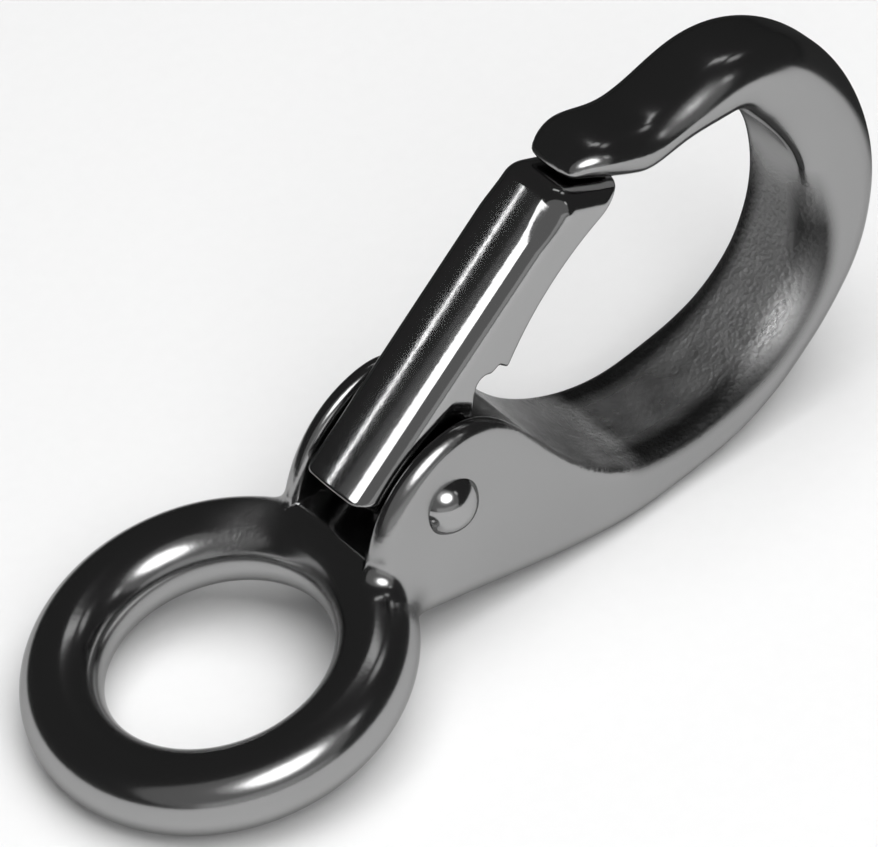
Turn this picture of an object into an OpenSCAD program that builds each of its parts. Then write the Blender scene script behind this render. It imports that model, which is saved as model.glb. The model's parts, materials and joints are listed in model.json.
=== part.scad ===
// Fixed-eye boat snap: a cast stainless snap hook with a round eye across its hook,
// a sprung channel gate between two cheeks and a riveted pivot pin.
//
// The casting is drawn in the plane of its hook. X runs from the eye to the bend, Z runs from
// the back of the spine to the gate, and Y is the width. The eye lies flat in the XY plane with
// its centre at the origin. at_rest() then tips the whole snap until the rim of the eye and the
// back of the spine stand on one level, as it lies on a table.

/* [Eye] */
// Inside diameter of the eye
eye_id = 16.2; // [12:0.2:20]
// Thickness of the eye's round bar
eye_bar = 5.8; // [4.4:0.1:7]

/* [Hook] */
// Eye centre to the outside of the bend
hook_len = 59.6; // [57:0.2:66]
// Depth of the spine's back below the eye's middle plane
spine_drop = 10.4; // [9:0.2:12]
// Inside radius of the bowl
bowl_r = 13.5; // [12.5:0.1:14.5]
// Thickness of the spine under the bowl
spine_t = 4.2; // [3.6:0.1:5.4]
// Thickness of the bend at the end of the bowl
bend_t = 7.1; // [6.5:0.1:9]
// Width of the hook across the bend
bend_w = 7.8; // [7:0.1:9.4]

/* [Nose] */
// Eye centre to the tip of the nose
nose_x = 35.3; // [34:0.1:37]
// Height of the bill's crest above the eye's middle plane
nose_rise = 21.4; // [20.4:0.1:23]
// Height of the nose's underside above the eye's middle plane
mouth_z = 16.7; // [16:0.1:17.2]
// Thickness of the bill at its tip
bill_t = 1.7; // [1.4:0.1:2.2]
// Width of the nose
nose_w = 7.2; // [6.4:0.1:8.2]

/* [Cheeks] */
// Eye centre to the pivot pin, along the hook
pin_x = 17.7; // [17:0.1:18.5]
// Height of the pivot pin above the eye's middle plane
pin_z = 4.6; // [4:0.1:5.4]
// Thickness of each cheek
cheek_t = 1.7; // [1.2:0.1:2.4]
// Height of the cheeks' crest above the eye's middle plane
cheek_z = 10; // [9:0.1:11]

/* [Gate] */
// Outside width of the gate's channel
gate_w = 7; // [6:0.1:8]
// Wall of the gate's channel
gate_wall = 1.1; // [0.8:0.05:1.5]
// Height of the gate's outer face above the pivot pin
gate_h = 5.5; // [4.8:0.1:6]
// Radius of the flange ears around the pivot pin
ear_r = 2.9; // [2.5:0.1:3.2]
// Travel of the gate from closed to fully open, in degrees
gate_travel = 38; // [25:1:42]

/* [Pivot pin] */
// Diameter of the pin's shank
pin_d = 2.6; // [2:0.1:3]
// Diameter of the riveted heads
head_d = 4.4; // [4:0.1:5.4]
// Height of the riveted heads
head_h = 1.4; // [0.6:0.1:1.8]

/* [Spring] */
// Wire of the torsion spring
wire_d = 0.6; // [0.4:0.05:0.8]
// Full turns of the torsion spring
spring_turns = 4; // [3:1:5]

/* [Fits] */
// Radial clearance of the gate's ears on the pin
run_gap = 0.05; // [0.02:0.01:0.1]
// Radial clearance of the pin in the cheeks
rivet_gap = 0.02; // [0.01:0.01:0.05]
// Gap between the gate and each cheek
side_gap = 0.3; // [0.2:0.05:0.5]
// Gap between the gate and what it closes or opens against
seat_gap = 0.2; // [0.1:0.05:0.3]

/* [Hidden] */
// steps of the casting along each stretch between two knots, and points on each section's corner
stretch_steps = 6;
corner_steps = 6;
fine = 96;

// ---- derived sizes ----
eye_r = (eye_id + eye_bar) / 2;
slot_w = gate_w + 2 * side_gap;
body_w = slot_w + 2 * cheek_t;
pin = [pin_x, pin_z];
bowl = [hook_len - bend_t - bowl_r, spine_t - spine_drop + bowl_r];
nose_tip = [nose_x, nose_rise - bill_t];

// ---- curves: a knot is [x, z, heading], and a stretch between two knots turns like an arc ----
function spot(k) = [k[0], k[1]];
function facing(a) = [cos(a), sin(a)];
function on_bowl(a) = [bowl[0] + bowl_r * cos(a), bowl[1] + bowl_r * sin(a), a + 90];
function handle(a, b) = norm(spot(b) - spot(a)) / (3 * pow(cos((b[2] - a[2]) / 4), 2));
function bezier(p, q, r, s, t) =
    p * pow(1 - t, 3) + 3 * q * t * pow(1 - t, 2) + 3 * r * t * t * (1 - t) + s * pow(t, 3);
function stretch(a, b, t) =
    let (h = handle(a, b))
    bezier(spot(a), spot(a) + h * facing(a[2]), spot(b) - h * facing(b[2]), spot(b), t);
function ease(a, b, t) = a + (b - a) * t * t * (3 - 2 * t);

// the bill's underside slopes with the end of the gate that closes under it
end_slope = 60;
lip_drop = 1.25;
reach = norm(nose_tip - pin);
gate_angle = atan2(nose_tip[1] - pin[1], nose_tip[0] - pin[0]) - asin((gate_h - lip_drop) / reach);
bill_heading = gate_angle - end_slope + 180;

// the line along the inside of the casting: cheeks, saddle, bowl, mouth and bill
heel_rise = 0.4;
heel = nose_tip - (nose_tip[1] - mouth_z - heel_rise) / sin(bill_heading) * facing(bill_heading);
saddle_angle = 222;
roof_sag = [3.2, 0.8, 0.2];
inside = [
    [eye_r - 1.1, eye_bar / 2 - 0.5, 72],
    [pin_x + 1.8, cheek_z, 0],
    on_bowl(saddle_angle) - [0, 0, 360],
    on_bowl(270) - [0, 0, 360],
    on_bowl(315) - [0, 0, 360],
    on_bowl(360) - [0, 0, 360],
    [bowl[0] + 0.84 * bowl_r, mouth_z - roof_sag[0], 120],
    [bowl[0] + 0.68 * bowl_r, mouth_z - roof_sag[1], 170],
    [bowl[0] + 0.4 * bowl_r, mouth_z - roof_sag[2], 177],
    [heel[0], heel[1], bill_heading],
    [nose_tip[0], nose_tip[1], bill_heading]
];

// the line along its outside: neck, back of the spine, bend, crown and bill
crown_back = [12, 1];
crown_front = [17, 1.45];
bill_back = 2.3;
bill_edge = [0.4, 0.5];
outside = [
    [eye_r - 1.2, 0.9 - eye_bar / 2, -20],
    [20.5, -6.4, -20.5],
    [30, -9.5, -12],
    [bowl[0] - 1.3, -spine_drop, 0],
    [hook_len - 4.6, -3.6, 47],
    [hook_len, 5, 88],
    [hook_len - 2.5, 15, 121],
    [hook_len - crown_back[0], nose_rise - crown_back[1], 184],
    [hook_len - crown_front[0], nose_rise - crown_front[1], 176],
    [nose_x + bill_back, nose_rise, 178],
    [nose_x - bill_edge[0], nose_rise - bill_t + bill_edge[1], 250]
];

// width of the casting, which flares into the eye, and the rounding of its edges, at the same knots
flare = 1;
saddle_w = (3 * body_w + bend_w) / 4;
neck_w = (body_w + bend_w) / 2;
crown_w = (bend_w + nose_w) / 2;
tip_w = 0.6 * nose_w;
widths = [
    body_w + flare, body_w, body_w, saddle_w, neck_w, bend_w, bend_w, crown_w, nose_w, nose_w, tip_w
];
inner_round = [0.8, 0.8, 1, 1, 1.6, 2.6, 2.6, 2.2, 1.8, 1.5, 0.4];
outer_round = [2, 2, 2.2, 2.2, 2.6, 3.6, 3.6, 3.4, 3, 2.6, 0.4];

// a solid through a row of rings that all have the same number of points
module loft(rings) {
    n = len(rings[0]);
    last = len(rings) - 1;
    faces = concat(
        [[for (j = [n - 1:-1:0]) j]],
        [for (i = [0:last - 1], j = [0:n - 1]) [i * n + j, i * n + (j + 1) % n, (i + 1) * n + (j + 1) % n]],
        [for (i = [0:last - 1], j = [0:n - 1]) [i * n + j, (i + 1) * n + (j + 1) % n, (i + 1) * n + j]],
        [[for (j = [0:n - 1]) last * n + j]]
    );
    polyhedron([for (ring = rings) each ring], faces);
}

// ---- casting ----
// one section is a rectangle with rounded corners, from the inside line to the outside line
least_flat = 0.05;
function corner(y, s, r, a) =
    [for (i = [0:corner_steps - 1]) [y, s] + r * facing(a + 90 * i / (corner_steps - 1))];
function section(w, t, ri, ro) = concat(
    corner(w / 2 - ro, t - ro, ro, 0), corner(ro - w / 2, t - ro, ro, 90),
    corner(ri - w / 2, ri, ri, 180), corner(w / 2 - ri, ri, ri, 270)
);
function placed(p, q, flat) =
    let (d = (q - p) / norm(q - p))
    [for (k = flat) [p[0] + d[0] * k[1], k[0], p[1] + d[1] * k[1]]];
function casting_section(n, t) =
    let (p = stretch(inside[n], inside[n + 1], t), q = stretch(outside[n], outside[n + 1], t))
    let (w = ease(widths[n], widths[n + 1], t), thick = norm(q - p))
    let (most = min(w, thick) / 2 - least_flat)
    let (ri = min(ease(inner_round[n], inner_round[n + 1], t), most))
    let (ro = min(ease(outer_round[n], outer_round[n + 1], t), most))
    placed(p, q, section(w, thick, ri, ro));

stretches = len(inside) - 1;
casting_rings = concat(
    [for (n = [0:stretches - 1], i = [0:stretch_steps - 1]) casting_section(n, i / stretch_steps)],
    [casting_section(stretches - 1, 1)]
);

// draws a profile given in X and Z, and gives it a width in Y
module across(w) {
    rotate([90, 0, 0])
        linear_extrude(w, center = true)
            children();
}

module pin_bore(r, w) {
    translate([pin_x, 0, pin_z])
        rotate([90, 0, 0])
            cylinder(h = w, r = r, center = true, $fn = fine);
}

// the slot between the cheeks: a front lip, a pocket under the ears and a ramp that stops the gate
pocket_r = ear_r + seat_gap;
ear_edge = [7.3, 2];
ear_edge_angle = atan2(ear_edge[1], ear_edge[0]) - acos(ear_r / norm(ear_edge)) + 90;
ramp_angle = gate_angle + ear_edge_angle - gate_travel;
ramp_foot = pin + pocket_r * facing(ramp_angle - 90);
pocket_front = 215;
lip = [eye_r - 0.4, 3.9];
module slot_profile() {
    translate(pin)
        circle(pocket_r, $fn = fine);
    polygon([
        pin + pocket_r * facing(pocket_front),
        ramp_foot,
        ramp_foot + 4 * ear_r * facing(ramp_angle),
        [hook_len / 2, 2 * cheek_z],
        [0, 2 * cheek_z],
        [0, lip[1]],
        lip
    ]);
}

module eye_ring() {
    rotate_extrude($fn = fine)
        translate([eye_r, 0])
            circle(d = eye_bar, $fn = fine);
}

// a narrow land round the inside of the eye, where the casting is ground true
land_depth = 0.12;
module eye_land() {
    cylinder(h = eye_bar, d = eye_id + 2 * land_depth, center = true, $fn = fine);
}

// a flat seat ground into each cheek for the riveted head
face_margin = 0.15;
module rivet_seats() {
    for (side = [-1, 1])
        translate([pin_x, side * (body_w + flare) / 2, pin_z])
            rotate([90, 0, 0])
                cylinder(h = flare, d = head_d + 2 * face_margin, center = true, $fn = fine);
}

module cast_body() {
    difference() {
        union() {
            loft(casting_rings);
            eye_ring();
        }
        eye_land();
        across(slot_w)
            slot_profile();
        pin_bore(pin_d / 2 + rivet_gap, 2 * body_w);
        rivet_seats();
    }
}

// ---- gate: drawn with the pin at the origin, X along the gate and Z out through its face ----
gate_edge_r = 1.3;
dome_r = 2;
reach_along = sqrt(pow(reach, 2) - pow(gate_h - lip_drop, 2));
dome_x = reach_along - lip_drop / tan(end_slope) - seat_gap / sin(end_slope) - dome_r * tan(end_slope / 2);

module in_gate_frame() {
    translate([pin_x, 0, pin_z])
        rotate([0, -gate_angle, 0])
            children();
}

// a box with rounded long edges and a domed end that slopes away under the bill
module gate_blank(skin) {
    w = gate_w / 2 - skin;
    top = gate_h - skin;
    edge = gate_edge_r - skin / 2;
    dome = dome_r - skin;
    down = 2 * ear_r;
    back = skin > 0 ? 2 * ear_r : ear_r;
    run = (top + down) / sin(end_slope);
    hull() {
        for (side = [-1, 1]) {
            for (x = [edge - back, dome_x], z = [top - edge, -down])
                translate([x, side * (w - edge), z])
                    sphere(edge, $fn = 32);
            for (along = [0, run])
                translate([dome_x, side * (w - dome), gate_h - dome_r])
                    translate([along * cos(end_slope), 0, -along * sin(end_slope)])
                        sphere(dome, $fn = 32);
        }
    }
}

// the side of the channel: ears round the pin, a notch, a tooth and an arched flange
tooth = [9.9, 0];
notch = [8.1, 1.5];
notch_r = 0.8;
flange_z = 0.5;
arch_r = 24;
arch_end = dome_x + 3.2;
arch_rise = 1.6;
module flange_profile() {
    circle(ear_r, $fn = fine);
    difference() {
        polygon([
            [-ear_r, 0],
            ear_r * facing(ear_edge_angle - 90),
            ear_edge,
            [tooth[0] - 0.2, notch[1]],
            tooth,
            [tooth[0] + 0.5, flange_z],
            [dome_x + gate_h, flange_z],
            [dome_x + gate_h, 2 * gate_h],
            [-ear_r, 2 * gate_h]
        ]);
        translate([(tooth[0] + arch_end) / 2, arch_rise - arch_r])
            circle(arch_r, $fn = 2 * fine);
        translate(notch)
            circle(notch_r, $fn = fine);
    }
}

module gate_channel() {
    in_gate_frame() {
        difference() {
            intersection() {
                gate_blank(0);
                across(2 * gate_w)
                    flange_profile();
            }
            gate_blank(gate_wall);
            rotate([90, 0, 0])
                cylinder(h = 2 * gate_w, r = pin_d / 2 + run_gap, center = true, $fn = fine);
        }
    }
}

// ---- pin and spring ----
module rivet_head() {
    cap_r = (pow(head_d / 2, 2) + pow(head_h, 2)) / (2 * head_h);
    intersection() {
        translate([0, 0, head_h - cap_r])
            sphere(cap_r, $fn = fine);
        cylinder(h = head_h, d = head_d + 1, $fn = fine);
    }
}

module rivet() {
    translate([pin_x, 0, pin_z]) {
        rotate([90, 0, 0])
            cylinder(h = body_w, d = pin_d, center = true, $fn = fine);
        for (side = [-1, 1])
            translate([0, side * body_w / 2, 0])
                rotate([-90 * side, 0, 0])
                    rivet_head();
    }
}

// the spring's wire runs from its foot on the ramp, round the pin, to its leg under the gate's web
wire_gap = 0.1;
leg_len = 8;
foot_len = 4;
coil_r = pin_d / 2 + wire_d / 2 + 1.5 * wire_gap;
pitch = wire_d + wire_gap;
coil_w = spring_turns * pitch;
leg_height = gate_h - gate_wall - wire_d / 2 - wire_gap;
leg_end = pin + leg_len * facing(gate_angle) + leg_height * facing(gate_angle + 90);
foot_end = ramp_foot + foot_len * facing(ramp_angle) + (wire_d / 2 + wire_gap) * facing(ramp_angle + 90);
// the angle at which a line from a far point touches the coil, on its near or its far side
function touch(p, side) =
    let (d = p - pin)
    atan2(d[1], d[0]) + side * acos(coil_r / norm(d));
foot_angle = touch(foot_end, -1);
leg_angle = touch(leg_end, 1);
turn = 360 * spring_turns + leg_angle - foot_angle;
coil_steps = 16 * spring_turns + 6;
function at_y(p, y) = [p[0], y, p[1]];
wire_path = concat(
    [at_y(foot_end, -coil_w / 2)],
    [for (i = [0:coil_steps])
        at_y(pin + coil_r * facing(foot_angle + turn * i / coil_steps), coil_w * (i / coil_steps - 0.5))],
    [at_y(leg_end, coil_w / 2)]
);

wire_sides = 8;
function unit(v) = v / norm(v);
function wire_ring(i) =
    let (last = len(wire_path) - 1)
    let (t = unit(wire_path[min(i + 1, last)] - wire_path[max(i - 1, 0)]))
    let (a = unit(cross(t, [0, 1, 0])), b = cross(t, a))
    [for (k = [0:wire_sides - 1])
        wire_path[i] + wire_d / 2 * (cos(360 * k / wire_sides) * a - sin(360 * k / wire_sides) * b)];

// ---- rest: the eye's rim and the spine's back stand on one level ----
function tip_angle(p) =
    let (d = p + [eye_r, 0])
    -atan2(d[1], d[0]) - asin(eye_bar / 2 / norm(d));
rest_pitch = max([
    for (n = [0:stretches - 1], t = [0:0.05:1])
        tip_angle(stretch(outside[n], outside[n + 1], t))
]);
module at_rest() {
    rotate([0, -rest_pitch, 0])
        children();
}

module body() {
    color("silver")
        at_rest()
            cast_body();
}

module gate() {
    color("gainsboro")
        at_rest()
            gate_channel();
}

module pivot_pin() {
    color("lightgray")
        at_rest()
            rivet();
}

module spring() {
    color("darkgray")
        at_rest()
            loft([for (i = [0:len(wire_path) - 1]) wire_ring(i)]);
}

body();
gate();
pivot_pin();
spring();
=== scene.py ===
# %% [markdown]
# # A boat snap in polished cast steel
#
# A boat snap is a cast stainless hook with a fixed eye and a small sprung gate. The CAD model
# gives every piece its size and place. Here each piece gets its real surface: soft cast edges,
# a mirror polish, and the rough skin of the mould where no polishing belt reaches.

# %% Load the frame
import json
import math

import bmesh
import bpy
import numpy as np
from mathutils import Matrix, Vector


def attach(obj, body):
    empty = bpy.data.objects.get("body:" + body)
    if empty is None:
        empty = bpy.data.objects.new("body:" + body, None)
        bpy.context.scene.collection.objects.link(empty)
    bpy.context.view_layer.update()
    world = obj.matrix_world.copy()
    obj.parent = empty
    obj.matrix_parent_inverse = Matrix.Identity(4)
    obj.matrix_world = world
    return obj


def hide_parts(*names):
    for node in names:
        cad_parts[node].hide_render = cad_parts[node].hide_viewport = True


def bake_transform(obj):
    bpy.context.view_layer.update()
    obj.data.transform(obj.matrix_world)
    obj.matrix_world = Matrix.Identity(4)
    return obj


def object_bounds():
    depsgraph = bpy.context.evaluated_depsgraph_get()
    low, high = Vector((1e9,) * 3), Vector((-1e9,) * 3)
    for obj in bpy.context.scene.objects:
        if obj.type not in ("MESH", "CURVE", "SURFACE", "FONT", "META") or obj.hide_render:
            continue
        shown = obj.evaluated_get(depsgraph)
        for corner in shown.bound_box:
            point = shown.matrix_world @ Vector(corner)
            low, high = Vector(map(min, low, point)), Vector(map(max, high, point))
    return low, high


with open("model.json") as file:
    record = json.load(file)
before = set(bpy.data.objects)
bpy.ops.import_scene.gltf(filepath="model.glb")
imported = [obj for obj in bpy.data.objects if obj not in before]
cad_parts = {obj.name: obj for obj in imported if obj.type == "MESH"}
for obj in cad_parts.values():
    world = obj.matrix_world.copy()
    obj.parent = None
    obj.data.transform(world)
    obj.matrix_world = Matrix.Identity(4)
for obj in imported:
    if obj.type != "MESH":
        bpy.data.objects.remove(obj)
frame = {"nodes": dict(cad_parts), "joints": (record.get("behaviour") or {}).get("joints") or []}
CAD_BOX = [list(corner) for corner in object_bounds()]
HINGE = frame["joints"][0]
MM = 0.001
print("the snap measures", [round((high - low) / MM, 1) for low, high in zip(*CAD_BOX)], "mm")

# %% [markdown]
# ## Camera
#
# The snap lies flat, and the camera looks down on it from above its eye, a little tilted. A long
# lens far away keeps the eye and the nose in proportion. The camera is placed by its position and
# by the right and up directions of its image.

# %% Camera
IMAGE_W = 878
LENS_PX = 6000
VIEW_RIGHT = Vector((0.77800, -0.62238, -0.08578))
VIEW_UP = Vector((0.47103, 0.48749, 0.73518))
CAMERA_AT = Vector((-149.746, -250.256, 283.963)) * MM

camera_data = bpy.data.cameras.new("camera")
camera_data.sensor_width = 36
camera_data.lens = LENS_PX / IMAGE_W * camera_data.sensor_width
camera_data.clip_start = 0.01
camera = bpy.data.objects.new("camera", camera_data)
bpy.context.scene.collection.objects.link(camera)
view_back = VIEW_RIGHT.cross(VIEW_UP)
turn = Matrix((VIEW_RIGHT, VIEW_UP, view_back)).transposed()
camera.matrix_world = Matrix.Translation(CAMERA_AT) @ turn.to_4x4()
bpy.context.scene.camera = camera
print("lens", round(camera_data.lens), "mm, camera", round(CAMERA_AT.length, 3), "m from the eye")

# %% [markdown]
# ## Table and light
#
# Polished steel has almost no colour of its own: it shows what stands round it. So the light is
# a set of things to reflect: a white table below, a dark room above, and a few bright panels
# whose reflections draw the white lines along every rounded edge. One more lamp lights only the
# table, and the steel doesn't see it.

# %% Table
scene = bpy.context.scene
scene.view_settings.view_transform = "Standard"
FLOOR_Z = CAD_BOX[0][2] - 0.02 * MM
FLOOR_R = 3.0
CARD_END, CARD_END_WAY = 0.036, math.radians(60)


def link(obj):
    scene.collection.objects.link(obj)
    return obj


def pale_card():
    """White card. Seen in the steel, it ends a short way behind the snap, where the room is dark."""
    material = bpy.data.materials.new("pale_card")
    material.use_nodes = True
    nodes, links = material.node_tree.nodes, material.node_tree.links
    shader = nodes["Principled BSDF"]
    shader.inputs["Roughness"].default_value = 0.9
    place = nodes.new("ShaderNodeTexCoord").outputs["Object"]
    fibres = nodes.new("ShaderNodeTexNoise")
    fibres.inputs["Scale"].default_value = 900
    links.new(place, fibres.inputs["Vector"])
    shade = nodes.new("ShaderNodeMapRange")
    shade.inputs["To Min"].default_value = 0.81
    shade.inputs["To Max"].default_value = 0.83
    links.new(fibres.outputs[0], shade.inputs["Value"])
    behind = nodes.new("ShaderNodeVectorMath")
    behind.operation = "DOT_PRODUCT"
    behind.inputs[1].default_value = (math.cos(CARD_END_WAY), math.sin(CARD_END_WAY), 0)
    links.new(place, behind.inputs[0])
    fade = nodes.new("ShaderNodeMapRange")
    fade.interpolation_type = "SMOOTHSTEP"
    for label, value in (("From Min", CARD_END), ("From Max", 1.4 * CARD_END), ("To Min", 1), ("To Max", 0.06)):
        fade.inputs[label].default_value = value
    links.new(behind.outputs["Value"], fade.inputs["Value"])
    mirrored = nodes.new("ShaderNodeMix")
    mirrored.inputs["A"].default_value = 1
    links.new(nodes.new("ShaderNodeLightPath").outputs["Is Glossy Ray"], mirrored.inputs["Factor"])
    links.new(fade.outputs["Result"], mirrored.inputs["B"])
    both = nodes.new("ShaderNodeMath")
    both.operation = "MULTIPLY"
    links.new(shade.outputs["Result"], both.inputs[0])
    links.new(mirrored.outputs["Result"], both.inputs[1])
    links.new(both.outputs[0], shader.inputs["Base Color"])
    return material


floor_mesh = bpy.data.meshes.new("table")
sheet = bmesh.new()
bmesh.ops.create_circle(sheet, cap_ends=True, segments=64, radius=FLOOR_R)
bmesh.ops.translate(sheet, verts=sheet.verts, vec=(0, 0, FLOOR_Z))
sheet.to_mesh(floor_mesh)
sheet.free()
floor_mesh.materials.append(pale_card())
floor = link(bpy.data.objects.new("table", floor_mesh))
print("table at", round(FLOOR_Z / MM, 2), "mm")

# %% Panels
SUBJECT = Vector((20, 0, 8)) * MM


def panel(
    name, azimuth, elevation, width, height, glow, distance=0.6, roll=0.0, seen=True, shape="RECTANGLE"
):
    """A bright panel in the direction given, facing the snap. glow is its radiance.

    The steel doesn't show a panel that isn't seen, but the panel still lights the table.
    """
    light = bpy.data.lights.new(name, "AREA")
    light.shape = shape
    light.size, light.size_y = width, height
    light.energy = glow * math.pi * width * height * (math.pi / 4 if shape == "ELLIPSE" else 1)
    lamp = link(bpy.data.objects.new(name, light))
    a, e = math.radians(azimuth), math.radians(elevation)
    way = Vector((math.cos(e) * math.cos(a), math.cos(e) * math.sin(a), math.sin(e)))
    face = way.to_track_quat("Z", "Y").to_matrix().to_4x4()
    rolled = face @ Matrix.Rotation(math.radians(roll), 4, "Z")
    lamp.matrix_world = Matrix.Translation(SUBJECT + way * distance) @ rolled
    lamp.visible_glossy = seen
    return lamp


window = panel("window", -110, 43, 0.40, 0.32, 3.2, shape="ELLIPSE")
halo = panel("window_halo", -112, 44, 0.60, 0.46, 0.35, distance=0.62, shape="ELLIPSE")
panel("wall", -125, 36, 2.2, 1.3, 0.20, distance=0.9, shape="ELLIPSE")
panel("low_wall", -112, 5, 1.7, 0.40, 0.30, distance=1.2)
panel("side_lamp", -62, 40, 0.06, 0.14, 1.0, shape="ELLIPSE")
panel("ceiling", 30, 64, 0.22, 0.07, 1.0)
panel("ceiling_far", -12, 56, 0.10, 0.13, 0.7, shape="ELLIPSE")
panel("table_light", -60, 80, 1.6, 1.6, 3.4, distance=1.5, seen=False)

world = bpy.data.worlds.new("dark_room")
scene.world = world
world.use_nodes = True
sky = world.node_tree
room = sky.nodes["Background"]
room.inputs["Color"].default_value = (0.04, 0.04, 0.04, 1)
backdrop = sky.nodes.new("ShaderNodeBackground")
backdrop.inputs["Color"].default_value = (0.9, 0.9, 0.9, 1)
choose = sky.nodes.new("ShaderNodeMixShader")
path = sky.nodes.new("ShaderNodeLightPath")
sky.links.new(path.outputs["Is Camera Ray"], choose.inputs[0])
sky.links.new(room.outputs[0], choose.inputs[1])
sky.links.new(backdrop.outputs[0], choose.inputs[2])
sky.links.new(choose.outputs[0], sky.nodes["World Output"].inputs["Surface"])
print("lamps", len(bpy.data.lights))

# %% [markdown]
# ## How the casting is drawn
#
# A cast hook has no flat sides or sharp edges to start from. Two lines drawn in the plane of the
# hook, one along its inside and one along its outside, hold its whole shape. Each line runs
# through knots, each a place and a heading, as with the pen tool of a drawing program. All the
# drawing is in millimetres, with the eye's centre as the origin and the eye level.

# %% Sizes of the casting
EYE_ID, EYE_BAR = 16.2, 5.8
HOOK_LEN, SPINE_DROP, BOWL_R = 59.6, 10.4, 13.5
SPINE_T, BEND_T, BEND_W = 4.2, 7.1, 7.8
NOSE_X, NOSE_RISE, MOUTH_Z, BILL_T, NOSE_W = 35.3, 21.4, 16.7, 1.7, 7.2
PIN_X, PIN_Z, CHEEK_T, CHEEK_Z = 17.7, 4.6, 1.7, 10
GATE_W, GATE_WALL, GATE_H, EAR_R, GATE_TRAVEL = 7.0, 1.1, 5.5, 2.9, 38
PIN_D = 2.6
WIRE_D, SPRING_TURNS = 0.6, 4
SIDE_GAP, SEAT_GAP = 0.3, 0.2

EYE_R = (EYE_ID + EYE_BAR) / 2
SLOT_W = GATE_W + 2 * SIDE_GAP
BODY_W = SLOT_W + 2 * CHEEK_T
PIN = np.array([PIN_X, PIN_Z])
BOWL = np.array([HOOK_LEN - BEND_T - BOWL_R, SPINE_T - SPINE_DROP + BOWL_R])
NOSE_TIP = np.array([NOSE_X, NOSE_RISE - BILL_T])
END_SLOPE, LIP_DROP = 60, 1.25

# %% Pen lines
def facing(degrees):
    a = np.radians(degrees)
    return np.array([np.cos(a), np.sin(a)])


def heading_to(p):
    return math.degrees(math.atan2(p[1], p[0]))


REACH = float(np.linalg.norm(NOSE_TIP - PIN))
GATE_ANGLE = heading_to(NOSE_TIP - PIN) - math.degrees(math.asin((GATE_H - LIP_DROP) / REACH))
BILL_HEADING = GATE_ANGLE - END_SLOPE + 180
HEEL = NOSE_TIP - (NOSE_TIP[1] - MOUTH_Z - 0.4) / math.sin(math.radians(BILL_HEADING)) * facing(BILL_HEADING)


def on_bowl(degrees):
    x, z = BOWL + BOWL_R * facing(degrees)
    return [x, z, degrees - 270]


INSIDE = np.array([
    [EYE_R - 1.1, EYE_BAR / 2 - 0.5, 72],
    [PIN_X + 1.8, CHEEK_Z, 0],
    on_bowl(222),
    on_bowl(270),
    on_bowl(315),
    on_bowl(360),
    [BOWL[0] + 0.84 * BOWL_R, MOUTH_Z - 3.2, 120],
    [BOWL[0] + 0.68 * BOWL_R, MOUTH_Z - 0.8, 170],
    [BOWL[0] + 0.4 * BOWL_R, MOUTH_Z - 0.2, 177],
    [HEEL[0], HEEL[1], BILL_HEADING],
    [NOSE_TIP[0], NOSE_TIP[1], BILL_HEADING],
])
OUTSIDE = np.array([
    [EYE_R - 1.2, 0.9 - EYE_BAR / 2, -20],
    [20.5, -6.4, -20.5],
    [30, -9.5, -12],
    [BOWL[0] - 1.3, -SPINE_DROP, 0],
    [HOOK_LEN - 4.6, -3.6, 47],
    [HOOK_LEN, 5, 88],
    [HOOK_LEN - 2.5, 15, 121],
    [HOOK_LEN - 12, NOSE_RISE - 1, 184],
    [HOOK_LEN - 17, NOSE_RISE - 1.45, 176],
    [NOSE_X + 2.3, NOSE_RISE, 178],
    [NOSE_X - 0.4, NOSE_RISE - BILL_T + 0.5, 250],
])
FLARE, SADDLE_W, NECK_W = 1, (3 * BODY_W + BEND_W) / 4, (BODY_W + BEND_W) / 2
WIDTHS = [
    BODY_W + FLARE, BODY_W, BODY_W, SADDLE_W, NECK_W, BEND_W,
    BEND_W, (BEND_W + NOSE_W) / 2, NOSE_W, NOSE_W, 0.6 * NOSE_W,
]
INNER_ROUND = [2.4, 1.3, 1, 1.1, 3.2, 1.6, 2.6, 2.2, 1.8, 1.5, 0.4]
OUTER_ROUND = [2, 2, 2.2, 2.2, 2.6, 3.6, 3.6, 3.4, 2.6, 1.8, 0.4]
CROWN = [0, 0, 0, 0, 0, 0, 0.2, 0.5, 0.6, 0.6, 0.4]
STEPS = 24


def pen_line(knots):
    """Points along a line through its knots. Each stretch turns like an arc."""
    points = []
    for a, b in zip(knots[:-1], knots[1:]):
        pull = np.linalg.norm(b[:2] - a[:2]) / (3 * math.cos(math.radians(b[2] - a[2]) / 4) ** 2)
        pens = [a[:2], a[:2] + pull * facing(a[2]), b[:2] - pull * facing(b[2]), b[:2]]
        for t in np.arange(STEPS) / STEPS:
            weights = [(1 - t) ** 3, 3 * t * (1 - t) ** 2, 3 * t * t * (1 - t), t ** 3]
            points.append(sum(w * p for w, p in zip(weights, pens)))
    return np.array(points + [knots[-1][:2]])


def eased(values):
    """The value at each point of a pen line, eased from knot to knot."""
    t = np.arange(STEPS) / STEPS
    soft = t * t * (3 - 2 * t)
    return np.concatenate([a + (b - a) * soft for a, b in zip(values[:-1], values[1:])] + [[values[-1]]])


inside, outside = pen_line(INSIDE), pen_line(OUTSIDE)
width, inner_round, outer_round, crown = eased(WIDTHS), eased(INNER_ROUND), eased(OUTER_ROUND), eased(CROWN)
print("pen lines of", len(inside), "points, bowl centre", BOWL.round(1))

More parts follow.
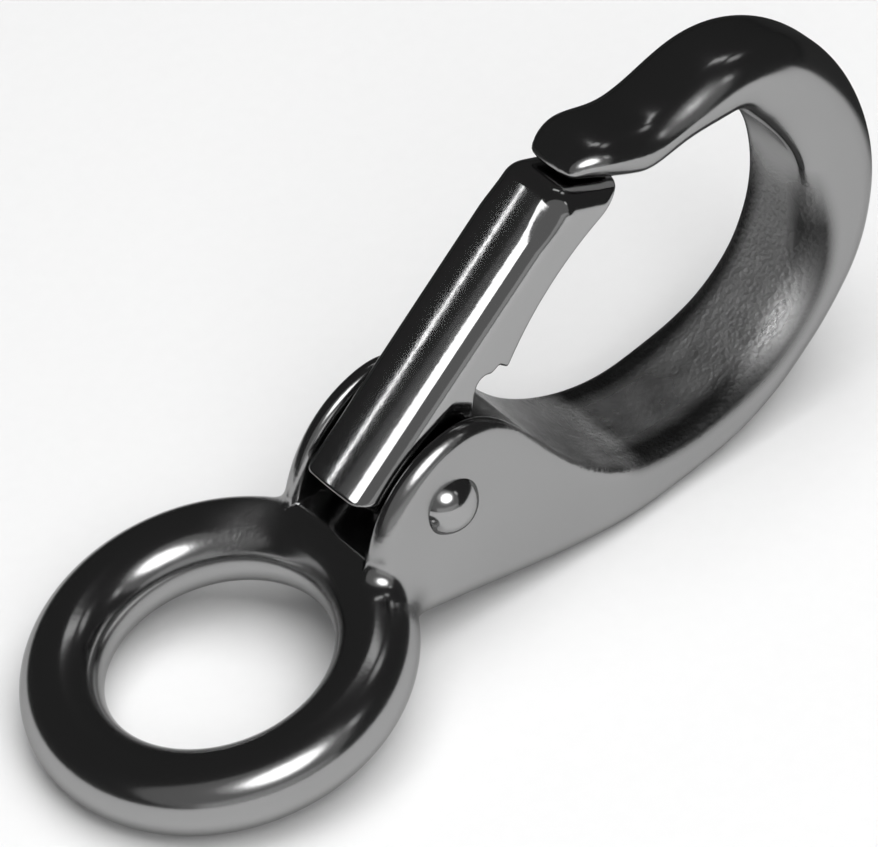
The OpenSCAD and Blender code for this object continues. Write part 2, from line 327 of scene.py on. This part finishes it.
# %% [markdown]
# ## A solid from distances
#
# Polished metal shows every crease, and a fillet made with booleans and bevels would crease. So
# the casting is made from a distance field: a function that gives, at each point of space, how
# far the surface is. Two such solids blend into one another in a true fillet, and a slot cut from
# one gets an even soft edge. A net of small faces is then laid on the points where the distance
# is zero, and each corner of it slides on to the exact surface.

# %% Distances in the plane
def distance_to_outline(points, outline):
    """Signed distance from points to a closed outline in the plane, negative inside it."""
    a, b = outline, np.roll(outline, -1, axis=0)
    keep = np.linalg.norm(b - a, axis=1) > 1e-9
    a, b = a[keep], b[keep]
    best = np.full(len(points), 1e9)
    inside_it = np.zeros(len(points), bool)
    for p, q in zip(a, b):
        run = q - p
        off = points - p
        t = np.clip(off @ run / (run @ run), 0, 1)
        best = np.minimum(best, ((off - t[:, None] * run) ** 2).sum(1))
        crosses = (p[1] > points[:, 1]) != (q[1] > points[:, 1])
        if crosses.any():
            x = p[0] + (points[:, 1] - p[1]) / (q[1] - p[1] if q[1] != p[1] else 1e-12) * run[0]
            inside_it ^= crosses & (points[:, 0] < x)
    return np.sqrt(best) * np.where(inside_it, -1, 1)


class Chart:
    """Values on a square grid in the plane, read between its points."""

    def __init__(self, low, high, step):
        self.low, self.step = np.array(low, float), step
        self.shape = tuple(np.ceil((np.array(high) - self.low) / step).astype(int) + 1)
        rows = [self.low[k] + step * np.arange(self.shape[k]) for k in (0, 1)]
        self.points = np.stack(np.meshgrid(*rows, indexing="ij"), -1).reshape(-1, 2)

    def blurred(self, values, radius):
        reach = int(3 * radius / self.step) + 1
        taps = np.exp(-0.5 * (np.arange(-reach, reach + 1) * self.step / radius) ** 2)
        taps /= taps.sum()
        out = values.reshape(self.shape)
        for axis in (0, 1):
            room_for = [(reach, reach) if k == axis else (0, 0) for k in (0, 1)]
            wide = np.pad(out, room_for, mode="edge")
            out = sum(w * np.take(wide, range(k, k + self.shape[axis]), axis=axis) for k, w in enumerate(taps))
        return out

    def read(self, values, points):
        place = (points - self.low) / self.step
        place = np.clip(place, 0, np.array(self.shape) - 1.001)
        corner = place.astype(int)
        f, g = (place - corner).T
        i, j = corner.T
        v = values
        return (
            v[i, j] * (1 - f) * (1 - g) + v[i + 1, j] * f * (1 - g)
            + v[i, j + 1] * (1 - f) * g + v[i + 1, j + 1] * f * g
        )


def rounded(flat, side, r):
    """A solid drawn in the plane and given a width, with its edges rounded by r."""
    a, b = flat + r, side + r
    return np.minimum(np.maximum(a, b), 0) + np.hypot(np.maximum(a, 0), np.maximum(b, 0)) - r


def joined(a, b, soft):
    h = np.clip(0.5 + 0.5 * (b - a) / soft, 0, 1)
    return b + (a - b) * h - soft * h * (1 - h)


def cut(a, b, soft):
    return -joined(-a, b, soft)


# %% Net on a surface
def net(solid, low, high, step):
    """Corners and four-sided faces on the surface where solid(points) is zero."""
    rows = [np.arange(low[k], high[k] + step, step) for k in range(3)]
    shape = tuple(len(r) for r in rows)
    values = np.empty(shape)
    for i, x in enumerate(rows[0]):
        plane = np.stack(np.meshgrid([x], rows[1], rows[2], indexing="ij"), -1).reshape(-1, 3)
        values[i] = solid(plane).reshape(shape[1:])
    inside_it = values < 0
    total = np.zeros(tuple(s - 1 for s in shape) + (3,))
    count = np.zeros(total.shape[:3])
    offsets = [(i, j, k) for i in (0, 1) for j in (0, 1) for k in (0, 1)]

    def at(array, o):
        return array[o[0]:array.shape[0] - 1 + o[0], o[1]:array.shape[1] - 1 + o[1], o[2]:array.shape[2] - 1 + o[2]]

    for o in offsets:
        for axis in range(3):
            if o[axis]:
                continue
            e = tuple(v + (k == axis) for k, v in enumerate(o))
            a, b = at(values, o), at(values, e)
            cross = (a < 0) != (b < 0)
            t = np.where(cross, a / np.where(cross, a - b, 1), 0)
            for k in range(3):
                total[..., k] += np.where(cross, o[k] + (t if k == axis else 0), 0)
            count += cross
    used = count > 0
    index = np.full(used.shape, -1)
    index[used] = np.arange(used.sum())
    cells = np.argwhere(used)
    corners = np.array(low) + step * (cells + total[used] / count[used][:, None])
    faces = []
    for axis in range(3):
        u, v = (axis + 1) % 3, (axis + 2) % 3
        a = np.take(inside_it, range(shape[axis] - 1), axis=axis)
        b = np.take(inside_it, range(1, shape[axis]), axis=axis)
        for sign in (False, True):
            edges = np.argwhere((a != b) & (a == sign))
            low_side = (edges[:, u] > 0) & (edges[:, v] > 0)
            high_side = (edges[:, u] < shape[u] - 1) & (edges[:, v] < shape[v] - 1)
            edges = edges[low_side & high_side]
            ring = []
            for du, dv in ((-1, -1), (0, -1), (0, 0), (-1, 0)):
                c = edges.copy()
                c[:, u] += du
                c[:, v] += dv
                ring.append(index[c[:, 0], c[:, 1], c[:, 2]])
            quad = np.stack(ring, 1)
            faces.append(quad if sign else quad[:, ::-1])
    corners = settled(solid, corners, step)
    return corners, np.concatenate(faces)


def slope(solid, points, reach=0.03):
    """Which way the distance grows, at each point."""
    out = np.empty_like(points)
    for k in range(3):
        d = np.zeros(3)
        d[k] = reach
        out[:, k] = solid(points + d) - solid(points - d)
    return out / (2 * reach)


def settled(solid, points, step):
    """Slides points on to the surface."""
    start = points
    for _ in range(4):
        g = slope(solid, points)
        d = solid(points)
        points = points - (d / np.maximum((g * g).sum(1), 0.25))[:, None] * g
        stray = points - start
        length = np.linalg.norm(stray, axis=1, keepdims=True)
        points = start + stray * np.minimum(1, step / np.maximum(length, 1e-9))
    return points


# %% [markdown]
# ## Lying on the table
#
# The drawing has the eye level, but the snap rests on the rim of its eye and the back of its
# spine. The same tilt that the CAD model has is found again from the drawing: the steepest line
# from the back of the eye's rim to the outside line.

# %% Tilt at rest
tilts = []
for point in outside:
    way = point + [EYE_R, 0]
    tilts.append(-math.atan2(way[1], way[0]) - math.asin(EYE_BAR / 2 / np.linalg.norm(way)))
REST_TILT = max(tilts)
COS_T, SIN_T = math.cos(REST_TILT), math.sin(REST_TILT)
LYING = np.array([[COS_T, 0, -SIN_T], [0, 1, 0], [SIN_T, 0, COS_T]])
print("lies tilted by", round(math.degrees(REST_TILT), 2), "degrees")
print("pin drawn at", (LYING @ [PIN_X, 0, PIN_Z]).round(2), "mm")
print("the frame puts it at", [round(c / MM, 2) for c in HINGE["pos_m"]], "mm")


def make_piece(name, solid, low, high, step, place=None):
    """A mesh object of a solid, lying on the table, with its normals taken from the solid itself."""
    corners, quads = net(solid, low, high, step)
    normals = slope(solid, corners)
    normals /= np.linalg.norm(normals, axis=1, keepdims=True)
    turned = LYING if place is None else LYING @ place[0]
    shift = np.zeros(3) if place is None else LYING @ place[1]
    mesh = bpy.data.meshes.new(name)
    mesh.from_pydata(((corners @ turned.T + shift) * MM).tolist(), [], quads.tolist())
    mesh.shade_smooth()
    mesh.normals_split_custom_set_from_vertices((normals @ turned.T).tolist())
    mesh.update()
    print(name, len(corners), "corners,", 2 * len(quads), "triangles")
    return link(bpy.data.objects.new(name, mesh)), corners


# %% [markdown]
# ## The hook, the eye and the slot
#
# The hook is its flat outline with a width that narrows from the cheeks to the nose, and edges
# rounded more and more towards the bend. The back of the nose is also crowned across its width.
# The eye is a ring of round bar. A slot between the cheeks holds the gate, with a pocket round the
# pin and a ramp that stops the gate.

# %% Charts of the hook
outline = np.concatenate([inside, outside[::-1]])
chart = Chart([6, -14], [64, 25], 0.1)
flat = chart.blurred(distance_to_outline(chart.points, outline), 0.1)

coarse = Chart([6, -14], [64, 25], 0.3)
across = np.linspace(-0.4, 1.4, 19)
thick = np.linalg.norm(outside - inside, axis=1)
ribs = (inside[:, None] + across[None, :, None] * (outside - inside)[:, None]).reshape(-1, 2)
most = np.minimum(width, thick) / 2 - 0.05
inner, outer = np.minimum(inner_round, most), np.minimum(outer_round, most)
mix = np.clip(across, 0, 1)
mix = mix * mix * (3 - 2 * mix)
rib_round = (inner[:, None] + (outer - inner)[:, None] * mix).reshape(-1)
rib_crown = (crown[:, None] * mix).reshape(-1)
rib_width = np.repeat(width, len(across))
rib_along = np.repeat(np.arange(len(width)) / STEPS, len(across))
nearest = np.concatenate([
    ((part[:, None] - ribs[None]) ** 2).sum(-1).argmin(1) for part in np.array_split(coarse.points, 60)
])
edge_chart = coarse.blurred(rib_round[nearest], 0.6)
width_chart = coarse.blurred(rib_width[nearest], 0.6)
crown_chart = coarse.blurred(rib_crown[nearest], 0.6)
along_chart = coarse.blurred(rib_along[nearest], 0.4)
print("hook drawn on", chart.shape, "points")

# %% Slot between the cheeks
POCKET_R = EAR_R + SEAT_GAP
EAR_EDGE = np.array([7.3, 2.0])
EAR_ANGLE = heading_to(EAR_EDGE) - math.degrees(math.acos(EAR_R / np.linalg.norm(EAR_EDGE))) + 90
RAMP_ANGLE = GATE_ANGLE + EAR_ANGLE - GATE_TRAVEL
RAMP_FOOT = PIN + POCKET_R * facing(RAMP_ANGLE - 90)
LIP = np.array([EYE_R - 0.4, 3.9])
slot_outline = np.array([
    PIN + POCKET_R * facing(215),
    RAMP_FOOT,
    RAMP_FOOT + 4 * EAR_R * facing(RAMP_ANGLE),
    [HOOK_LEN / 2, 2 * CHEEK_Z],
    [0, 2 * CHEEK_Z],
    [0, LIP[1]],
    LIP,
])
slot_flat = distance_to_outline(chart.points, slot_outline)
slot_flat = np.minimum(slot_flat, np.linalg.norm(chart.points - PIN, axis=1) - POCKET_R)
slot_flat = chart.blurred(slot_flat, 0.12)
FILLET, SLOT_EDGE = 1.6, 1.0


def casting(p):
    plane = p[:, [0, 2]]
    side = np.abs(p[:, 1])
    half = coarse.read(width_chart, plane) / 2
    back = chart.read(flat, plane) + coarse.read(crown_chart, plane) * (side / half) ** 2
    hook = rounded(back, side - half, coarse.read(edge_chart, plane))
    ring = np.hypot(np.hypot(p[:, 0], p[:, 1]) - EYE_R, p[:, 2]) - EYE_BAR / 2
    solid = joined(hook, ring, FILLET)
    slot = np.maximum(chart.read(slot_flat, plane), side - SLOT_W / 2)
    solid = cut(solid, slot, SLOT_EDGE)
    return np.maximum(solid, PIN_D / 2 - np.hypot(p[:, 0] - PIN_X, p[:, 2] - PIN_Z))


body, body_corners = make_piece("snap_body", casting, [-14.6, -14.6, -11.2], [60.4, 14.6, 22.4], 0.24)
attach(body, "body")
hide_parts("body")

# %% [markdown]
# ## The gate
#
# The gate is a channel pressed from sheet: a flat face, two side flanges and a domed end that
# closes under the bill of the nose. The flanges have round ears for the pin, a small notch and a
# tooth behind it, and then rise in a shallow arch. It is drawn along its own length, with the
# pin as its origin, and then turned to where it closes.

# %% Drawing of the gate
DOME_R, EDGE_R, FACE_CROWN = 2.0, 1.5, 0.3
along = math.sqrt(REACH ** 2 - (GATE_H - LIP_DROP) ** 2)
tan_end, sin_end = math.tan(math.radians(END_SLOPE)), math.sin(math.radians(END_SLOPE))
END_X = along - LIP_DROP / tan_end - SEAT_GAP / sin_end
DOME_X = END_X - DOME_R * math.tan(math.radians(END_SLOPE / 2))
DOWN = 2 * EAR_R


def channel_outline(skin, back):
    """The side view of the gate's pressing, from its back end to the slope of its end."""
    centre = np.array([DOME_X, GATE_H - DOME_R])
    dome = [centre + (DOME_R - skin) * facing(a) for a in np.linspace(90, 90 - END_SLOPE, 16)]
    slant = np.array([1, -tan_end]) / math.hypot(1, tan_end)
    end = dome[-1] + slant * 2 * GATE_H
    return np.array([[-back, -2 * DOWN], [-back, GATE_H - skin]] + dome + [end, [end[0], -2 * DOWN]])


MOUTH_LEAN = 0.8
gate_chart = Chart([-6, -6], [30, 8], 0.08)
outer_flat = gate_chart.blurred(distance_to_outline(gate_chart.points, channel_outline(0, EAR_R + MOUTH_LEAN)), 0.08)
inner_flat = gate_chart.blurred(distance_to_outline(gate_chart.points, channel_outline(GATE_WALL, 3 * EAR_R)), 0.08)

TOOTH, NOTCH, NOTCH_R, FLANGE_Z = np.array([9.9, 0.0]), np.array([8.1, 1.5]), 0.8, 0.5
ARCH_R, ARCH_RISE = 24, 1.6
ARCH_END = DOME_X + 3.2
flange_outline = np.array([
    [-EAR_R, 0], EAR_R * facing(EAR_ANGLE - 90), EAR_EDGE, [TOOTH[0] - 0.2, NOTCH[1]], TOOTH,
    [TOOTH[0] + 0.5, FLANGE_Z], [DOME_X + GATE_H, FLANGE_Z], [DOME_X + GATE_H, 2 * GATE_H],
    [-EAR_R - 2 * MOUTH_LEAN, 2 * GATE_H],
])
g = gate_chart.points
flange = distance_to_outline(g, flange_outline)
flange = np.minimum(flange, np.linalg.norm(g, axis=1) - EAR_R)
flange = np.maximum(flange, ARCH_R - np.linalg.norm(g - [(TOOTH[0] + ARCH_END) / 2, ARCH_RISE - ARCH_R], axis=1))
flange = np.maximum(flange, NOTCH_R - np.linalg.norm(g - NOTCH, axis=1))
flange_flat = gate_chart.blurred(flange, 0.08)


def pressing(p):
    plane = p[:, [0, 2]]
    side = np.abs(p[:, 1])
    near_end = np.clip((p[:, 0] - DOME_X + 3) / 3, 0, 1)
    edge = EDGE_R + (DOME_R - 0.1 - EDGE_R) * near_end * near_end * (3 - 2 * near_end)
    crown = FACE_CROWN * (side / (GATE_W / 2)) ** 2
    shell = rounded(gate_chart.read(outer_flat, plane) + crown, side - GATE_W / 2, edge)
    hollow = rounded(gate_chart.read(inner_flat, plane), side - GATE_W / 2 + GATE_WALL, edge - GATE_WALL / 2)
    solid = cut(shell, hollow, 0.2)
    solid = -joined(-solid, -gate_chart.read(flange_flat, plane), 0.5)
    bore = np.hypot(p[:, 0], p[:, 2]) - PIN_D / 2
    return np.maximum(solid, -bore)


GATE_TURN = np.array([
    [math.cos(math.radians(GATE_ANGLE)), 0, -math.sin(math.radians(GATE_ANGLE))],
    [0, 1, 0],
    [math.sin(math.radians(GATE_ANGLE)), 0, math.cos(math.radians(GATE_ANGLE))],
])
gate, _ = make_piece(
    "snap_gate", pressing, [-4.2, -3.9, -3.4], [END_X + 6, 3.9, 5.9], 0.15, (GATE_TURN, np.array([PIN_X, 0, PIN_Z]))
)
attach(gate, "gate")
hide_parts("gate")

# %% [markdown]
# ## Two strips for the gate
#
# The gate's face is nearly flat, so it shows one small patch of the room. Two strip lights that
# shine on the gate alone draw the lines that show its shape: a thin one along the middle of its
# face, and a broad one where the face bends down into the flange. The window doesn't shine on it.

# %% Gate strips
gate_only = bpy.data.collections.new("gate_only")
gate_only.objects.link(gate)
for name, azimuth, elevation, width_m, height_m, glow, roll in (
    ("edge_strip", 174, 43.5, 0.48, 0.16, 3.2, 0),
    ("edge_glow", 143, 38, 0.07, 0.12, 0.1, 0),
    ("face_strip", 131.6, 32.2, 0.011, 0.16, 5.5, 35),
):
    lamp = panel(name, azimuth, elevation, width_m, height_m, glow, roll=roll)
    lamp.light_linking.receiver_collection = gate_only
not_gate = bpy.data.collections.new("not_gate")
not_gate.objects.link(gate)
not_gate.collection_objects[0].light_linking.link_state = "EXCLUDE"
for lamp in (window, halo):
    lamp.light_linking.receiver_collection = not_gate

# %% [markdown]
# ## The spring
#
# A torsion spring sits on the pin between the flanges. Its foot lies on the ramp and its leg
# pushes up under the gate's face. A bent wire is a path with a round section, so Geometry Nodes
# sweep a circle along it. The tree rounds the bends, so the path itself needs few points.

# %% Path of the wire
WIRE_GAP, LEG_LEN, FOOT_LEN = 0.1, 8, 4
COIL_R = PIN_D / 2 + WIRE_D / 2 + 1.5 * WIRE_GAP
COIL_W = SPRING_TURNS * (WIRE_D + WIRE_GAP)
leg_height = GATE_H - GATE_WALL - WIRE_D / 2 - WIRE_GAP
leg_end = PIN + LEG_LEN * facing(GATE_ANGLE) + leg_height * facing(GATE_ANGLE + 90)
foot_end = RAMP_FOOT + FOOT_LEN * facing(RAMP_ANGLE) + (WIRE_D / 2 + WIRE_GAP) * facing(RAMP_ANGLE + 90)


def touch(point, side):
    way = point - PIN
    return heading_to(way) + side * math.degrees(math.acos(COIL_R / np.linalg.norm(way)))


foot_angle, leg_angle = touch(foot_end, -1), touch(leg_end, 1)
coil_turn = 360 * SPRING_TURNS + leg_angle - foot_angle
count = 40 * SPRING_TURNS
wire = [[foot_end[0], -COIL_W / 2, foot_end[1]]]
for i in range(count + 1):
    x, z = PIN + COIL_R * facing(foot_angle + coil_turn * i / count)
    wire.append([x, COIL_W * (i / count - 0.5), z])
wire.append([leg_end[0], COIL_W / 2, leg_end[1]])
wire = np.array(wire) @ LYING.T * MM
print("wire", round(float(np.linalg.norm(np.diff(wire, axis=0), axis=1).sum() / MM)), "mm long")


# %% Sweep with Geometry Nodes
def wire_tree():
    tree = bpy.data.node_groups.new("bent_wire", "GeometryNodeTree")
    tree.interface.new_socket("Path", in_out="INPUT", socket_type="NodeSocketGeometry")
    for name, value in (("Wire Radius", 0.0003), ("Bend Radius", 0.0004)):
        socket = tree.interface.new_socket(name, in_out="INPUT", socket_type="NodeSocketFloat")
        socket.default_value = value
    sides = tree.interface.new_socket("Sides", in_out="INPUT", socket_type="NodeSocketInt")
    sides.default_value = 16
    tree.interface.new_socket("Finish", in_out="INPUT", socket_type="NodeSocketMaterial")
    tree.interface.new_socket("Wire", in_out="OUTPUT", socket_type="NodeSocketGeometry")
    nodes, links = tree.nodes, tree.links
    start, end = nodes.new("NodeGroupInput"), nodes.new("NodeGroupOutput")
    curve = nodes.new("GeometryNodeMeshToCurve")
    bend = nodes.new("GeometryNodeFilletCurve")
    bend.mode = "POLY"
    bend.inputs["Limit Radius"].default_value = True
    section = nodes.new("GeometryNodeCurvePrimitiveCircle")
    sweep = nodes.new("GeometryNodeCurveToMesh")
    sweep.inputs["Fill Caps"].default_value = True
    real = nodes.new("GeometryNodeRealizeInstances")
    finish = nodes.new("GeometryNodeSetMaterial")
    links.new(start.outputs["Path"], curve.inputs["Mesh"])
    links.new(curve.outputs["Curve"], bend.inputs["Curve"])
    links.new(start.outputs["Bend Radius"], bend.inputs["Radius"])
    links.new(start.outputs["Sides"], section.inputs["Resolution"])
    links.new(start.outputs["Wire Radius"], section.inputs["Radius"])
    links.new(bend.outputs["Curve"], sweep.inputs["Curve"])
    links.new(section.outputs["Curve"], sweep.inputs["Profile Curve"])
    links.new(sweep.outputs["Mesh"], real.inputs["Geometry"])
    links.new(real.outputs["Geometry"], finish.inputs["Geometry"])
    links.new(start.outputs["Finish"], finish.inputs["Material"])
    links.new(finish.outputs["Geometry"], end.inputs["Wire"])
    return tree


path_mesh = bpy.data.meshes.new("spring_path")
path_mesh.from_pydata(wire.tolist(), [(i, i + 1) for i in range(len(wire) - 1)], [])
path_object = link(bpy.data.objects.new("spring_path", path_mesh))
print("spring path of", len(wire), "points")

# %% [markdown]
# ## Finishes
#
# The whole snap is one metal, but it is finished in two ways. Where a belt or a mop could reach,
# the steel is a mirror with a faint orange peel left from the casting. Inside the bowl it keeps
# the grainy skin of the mould, with a little oxide on it that isn't metal any more. Both effects
# are node groups, so that each material can use them with its own values.

# %% Node groups
def shader_group(name, inputs, outputs):
    tree = bpy.data.node_groups.new(name, "ShaderNodeTree")
    for label, value in inputs:
        tree.interface.new_socket(label, in_out="INPUT", socket_type="NodeSocketFloat").default_value = value
    for label in outputs:
        tree.interface.new_socket(label, in_out="OUTPUT", socket_type="NodeSocketFloat")
    return tree, tree.nodes.new("NodeGroupInput"), tree.nodes.new("NodeGroupOutput")


def noise(tree, place, scale, detail, rough=0.5):
    node = tree.nodes.new("ShaderNodeTexNoise")
    node.inputs["Detail"].default_value = detail
    node.inputs["Roughness"].default_value = rough
    tree.links.new(place, node.inputs["Vector"])
    if isinstance(scale, (int, float)):
        node.inputs["Scale"].default_value = scale
    else:
        tree.links.new(scale, node.inputs["Scale"])
    return node.outputs[0]


def math_node(tree, operation, *values):
    node = tree.nodes.new("ShaderNodeMath")
    node.operation = operation
    for socket, value in zip(node.inputs, values):
        if isinstance(value, (int, float)):
            socket.default_value = value
        else:
            tree.links.new(value, socket)
    return node.outputs[0]


def polish_group():
    """Orange peel and a slightly uneven polish."""
    tree, start, end = shader_group(
        "mirror_polish",
        [("Peel Scale", 2200), ("Peel Height", 1.0), ("Roughness", 0.1), ("Uneven", 0.06)],
        ["Height", "Roughness"],
    )
    place = tree.nodes.new("ShaderNodeTexCoord").outputs["Object"]
    peel = noise(tree, place, start.outputs["Peel Scale"], 2)
    tree.links.new(math_node(tree, "MULTIPLY", peel, start.outputs["Peel Height"]), end.inputs["Height"])
    cloud = noise(tree, place, 260, 4)
    spread = math_node(tree, "MULTIPLY", math_node(tree, "SUBTRACT", cloud, 0.5), start.outputs["Uneven"])
    tree.links.new(math_node(tree, "ADD", start.outputs["Roughness"], spread), end.inputs["Roughness"])
    return tree


def skin_group():
    """The grain of a casting's skin: small bumps and pits."""
    tree, start, end = shader_group(
        "mould_skin", [("Grain Scale", 2000), ("Grain Height", 1.0)], ["Height", "Shade"]
    )
    place = tree.nodes.new("ShaderNodeTexCoord").outputs["Object"]
    grain = noise(tree, place, start.outputs["Grain Scale"], 6, 0.7)
    pits = tree.nodes.new("ShaderNodeTexVoronoi")
    tree.links.new(place, pits.inputs["Vector"])
    tree.links.new(math_node(tree, "MULTIPLY", start.outputs["Grain Scale"], 1.3), pits.inputs["Scale"])
    both = math_node(tree, "ADD", grain, math_node(tree, "MULTIPLY", pits.outputs["Distance"], 0.5))
    tree.links.new(math_node(tree, "MULTIPLY", both, start.outputs["Grain Height"]), end.inputs["Height"])
    tree.links.new(noise(tree, place, 500, 5), end.inputs["Shade"])
    return tree


MIRROR_POLISH, MOULD_SKIN = polish_group(), skin_group()


# %% Steels
BUMP_STEP = 0.004 * MM
SKIN_ROUGH, PAINTED_LIGHT_ROUGH, SKIN_OXIDE = 0.2, 0.14, 0.6


def steel(name, shade, roughness, peel=1.0, skin=0.0):
    """A polished steel. skin is how deep the mould's grain is where the piece is marked as cast."""
    material = bpy.data.materials.new(name)
    material.use_nodes = True
    tree = material.node_tree
    shader = tree.nodes["Principled BSDF"]
    shader.inputs["Metallic"].default_value = 1
    shader.inputs["Specular Tint"].default_value = (0.6, 0.6, 0.6, 1)
    polish = tree.nodes.new("ShaderNodeGroup")
    polish.node_tree = MIRROR_POLISH
    polish.inputs["Roughness"].default_value = roughness
    polish.inputs["Peel Height"].default_value = peel
    height, rough = polish.outputs["Height"], polish.outputs["Roughness"]
    tint = tree.nodes.new("ShaderNodeMapRange")
    tint.inputs["To Min"].default_value = shade * 0.94
    tint.inputs["To Max"].default_value = shade * 1.06
    place = tree.nodes.new("ShaderNodeTexCoord").outputs["Object"]
    tree.links.new(noise(tree, place, 90, 3), tint.inputs["Value"])
    colour = tint.outputs["Result"]
    if skin:
        cast = tree.nodes.new("ShaderNodeGroup")
        cast.node_tree = MOULD_SKIN
        mask = tree.nodes.new("ShaderNodeAttribute")
        mask.attribute_name = "as_cast"
        where = mask.outputs["Fac"]
        depth = math_node(tree, "MULTIPLY", where, skin)
        height = math_node(tree, "ADD", height, math_node(tree, "MULTIPLY", cast.outputs["Height"], depth))
        # Painted shade and a painted highlight: this attribute darkens or brightens the colour, and adds roughness.
        painted_shade_and_highlight = tree.nodes.new("ShaderNodeAttribute")
        painted_shade_and_highlight.attribute_name = "painted_shade_and_highlight"
        from_skin = math_node(tree, "MULTIPLY", where, SKIN_ROUGH)
        from_painted_light = math_node(tree, "MULTIPLY", painted_shade_and_highlight.outputs["Fac"], PAINTED_LIGHT_ROUGH)
        rough = math_node(tree, "ADD", rough, math_node(tree, "ADD", from_skin, from_painted_light))
        colour = math_node(tree, "MULTIPLY", colour, math_node(tree, "SUBTRACT", 1.0, painted_shade_and_highlight.outputs["Fac"]))
        oxide = math_node(tree, "MULTIPLY", where, math_node(tree, "MULTIPLY", cast.outputs["Shade"], SKIN_OXIDE))
        tree.links.new(math_node(tree, "SUBTRACT", 1.0, oxide), shader.inputs["Metallic"])
    bump = tree.nodes.new("ShaderNodeBump")
    bump.inputs["Distance"].default_value = BUMP_STEP
    tree.links.new(height, bump.inputs["Height"])
    tree.links.new(colour, shader.inputs["Base Color"])
    tree.links.new(rough, shader.inputs["Roughness"])
    tree.links.new(bump.outputs["Normal"], shader.inputs["Normal"])
    return material


body.data.materials.append(steel("cast_stainless", 0.33, 0.17, peel=1.0, skin=50))
gate.data.materials.append(steel("pressed_stainless", 0.36, 0.09, peel=0.7))
rivet_steel = steel("rivet_stainless", 0.36, 0.13, peel=1.2)
pin_object = frame["nodes"]["pivot_pin"]
pin_object.data.materials.clear()
pin_object.data.materials.append(rivet_steel)
print("materials", [m.name for m in bpy.data.materials])

# %% [markdown]
# ## Skin, painted shade and a painted highlight
#
# Two layers of numbers on the casting say where the mould's skin is left and where shade and a
# highlight are painted into its colour. The skin covers the inside of the bowl, and thinly the
# saddle and a patch on the eye. A band of painted shade darkens the bowl's edges, a painted
# highlight brightens a small place near the bend, and the saddle's colour is made lighter. The
# places are given along the pen lines, counted in knots, and in millimetres in from the side.

# %% Where the skin of the mould is left
def ramp(values, zero_at, one_at):
    return np.clip((values - zero_at) / (one_at - zero_at), 0, 1)


def spot(points, centre, size):
    return np.exp(-(((points - centre) / size) ** 2).sum(1))


p = body_corners
plane = p[:, [0, 2]]
along_path = coarse.read(along_chart, plane)
from_bowl = np.linalg.norm(plane - BOWL, axis=1) - BOWL_R
in_from_side = coarse.read(width_chart, plane) / 2 - np.abs(p[:, 1])

floor_of_bowl = ramp(along_path, 2.25, 2.4) * ramp(along_path, 5.0, 4.5)
near_floor = ramp(from_bowl, 3.4, 2.2)
facing_in = near_floor * ramp(in_from_side, 0.05, 0.45)
saddle = ramp(along_path, 1.3, 1.5) * ramp(along_path, 2.5, 2.4) * ramp(in_from_side, 0.2, 1.2) * (from_bowl < 2)
eye_patch = spot(p, [8.0, 6.1, 2.7], [2.6, 1.6, 1.2])
grainy = 0.5 + 0.5 * ramp(along_path, 3, 3.6)
as_cast = np.clip(floor_of_bowl * facing_in * grainy + 0.7 * saddle + 0.35 * eye_patch, 0, 1)

# %% Painted shade and a painted highlight
# Where a highlight is painted into the colour near the bend: its angle round the bowl, its side and its size.
HIGHLIGHT_ANGLE, HIGHLIGHT_Y, HIGHLIGHT_SIZE = -54, -3.3, [15, 1.1]
bowl_angle = np.degrees(np.arctan2(plane[:, 1] - BOWL[1], plane[:, 0] - BOWL[0]))
# The painted highlight's mask.
painted_highlight = spot(np.stack([bowl_angle, p[:, 1]], 1), [HIGHLIGHT_ANGLE, HIGHLIGHT_Y], HIGHLIGHT_SIZE) * facing_in
# A band along the bowl's edges where shade is painted into the colour.
edge_band = floor_of_bowl * near_floor * ramp(in_from_side, 0, 0.3) * ramp(in_from_side, 3.0, 1.8)
# The colour is multiplied by one minus this: painted shade on the edge band, a painted highlight at the bright place
# near the bend, and a lighter colour on the saddle.
painted_shade_and_highlight = 0.88 * edge_band * (1 - painted_highlight) - 1.2 * painted_highlight - 0.5 * saddle
for name, values in (("as_cast", as_cast), ("painted_shade_and_highlight", painted_shade_and_highlight)):
    layer = body.data.attributes.new(name, "FLOAT", "POINT")
    layer.data.foreach_set("value", values.astype(np.float32))
print("as cast on", round(100 * float((as_cast > 0.5).mean()), 1), "% of the casting")

# %% The spring, swept and finished
spring_tree = wire_tree()
modifier = path_object.modifiers.new("wire", "NODES")
modifier.node_group = spring_tree
sockets = {item.name: item.identifier for item in spring_tree.interface.items_tree if item.in_out == "INPUT"}
modifier[sockets["Wire Radius"]] = WIRE_D / 2 * MM
modifier[sockets["Bend Radius"]] = 1.2 * MM
modifier[sockets["Finish"]] = steel("spring_wire", 0.32, 0.25, peel=0.5)
bpy.context.view_layer.update()
swept = bpy.data.meshes.new_from_object(path_object.evaluated_get(bpy.context.evaluated_depsgraph_get()))
swept.shade_smooth()
bpy.data.objects.remove(path_object)
spring = link(bpy.data.objects.new("gate_spring", swept))
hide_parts("spring")
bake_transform(spring)
print("spring of", len(swept.polygons), "faces")
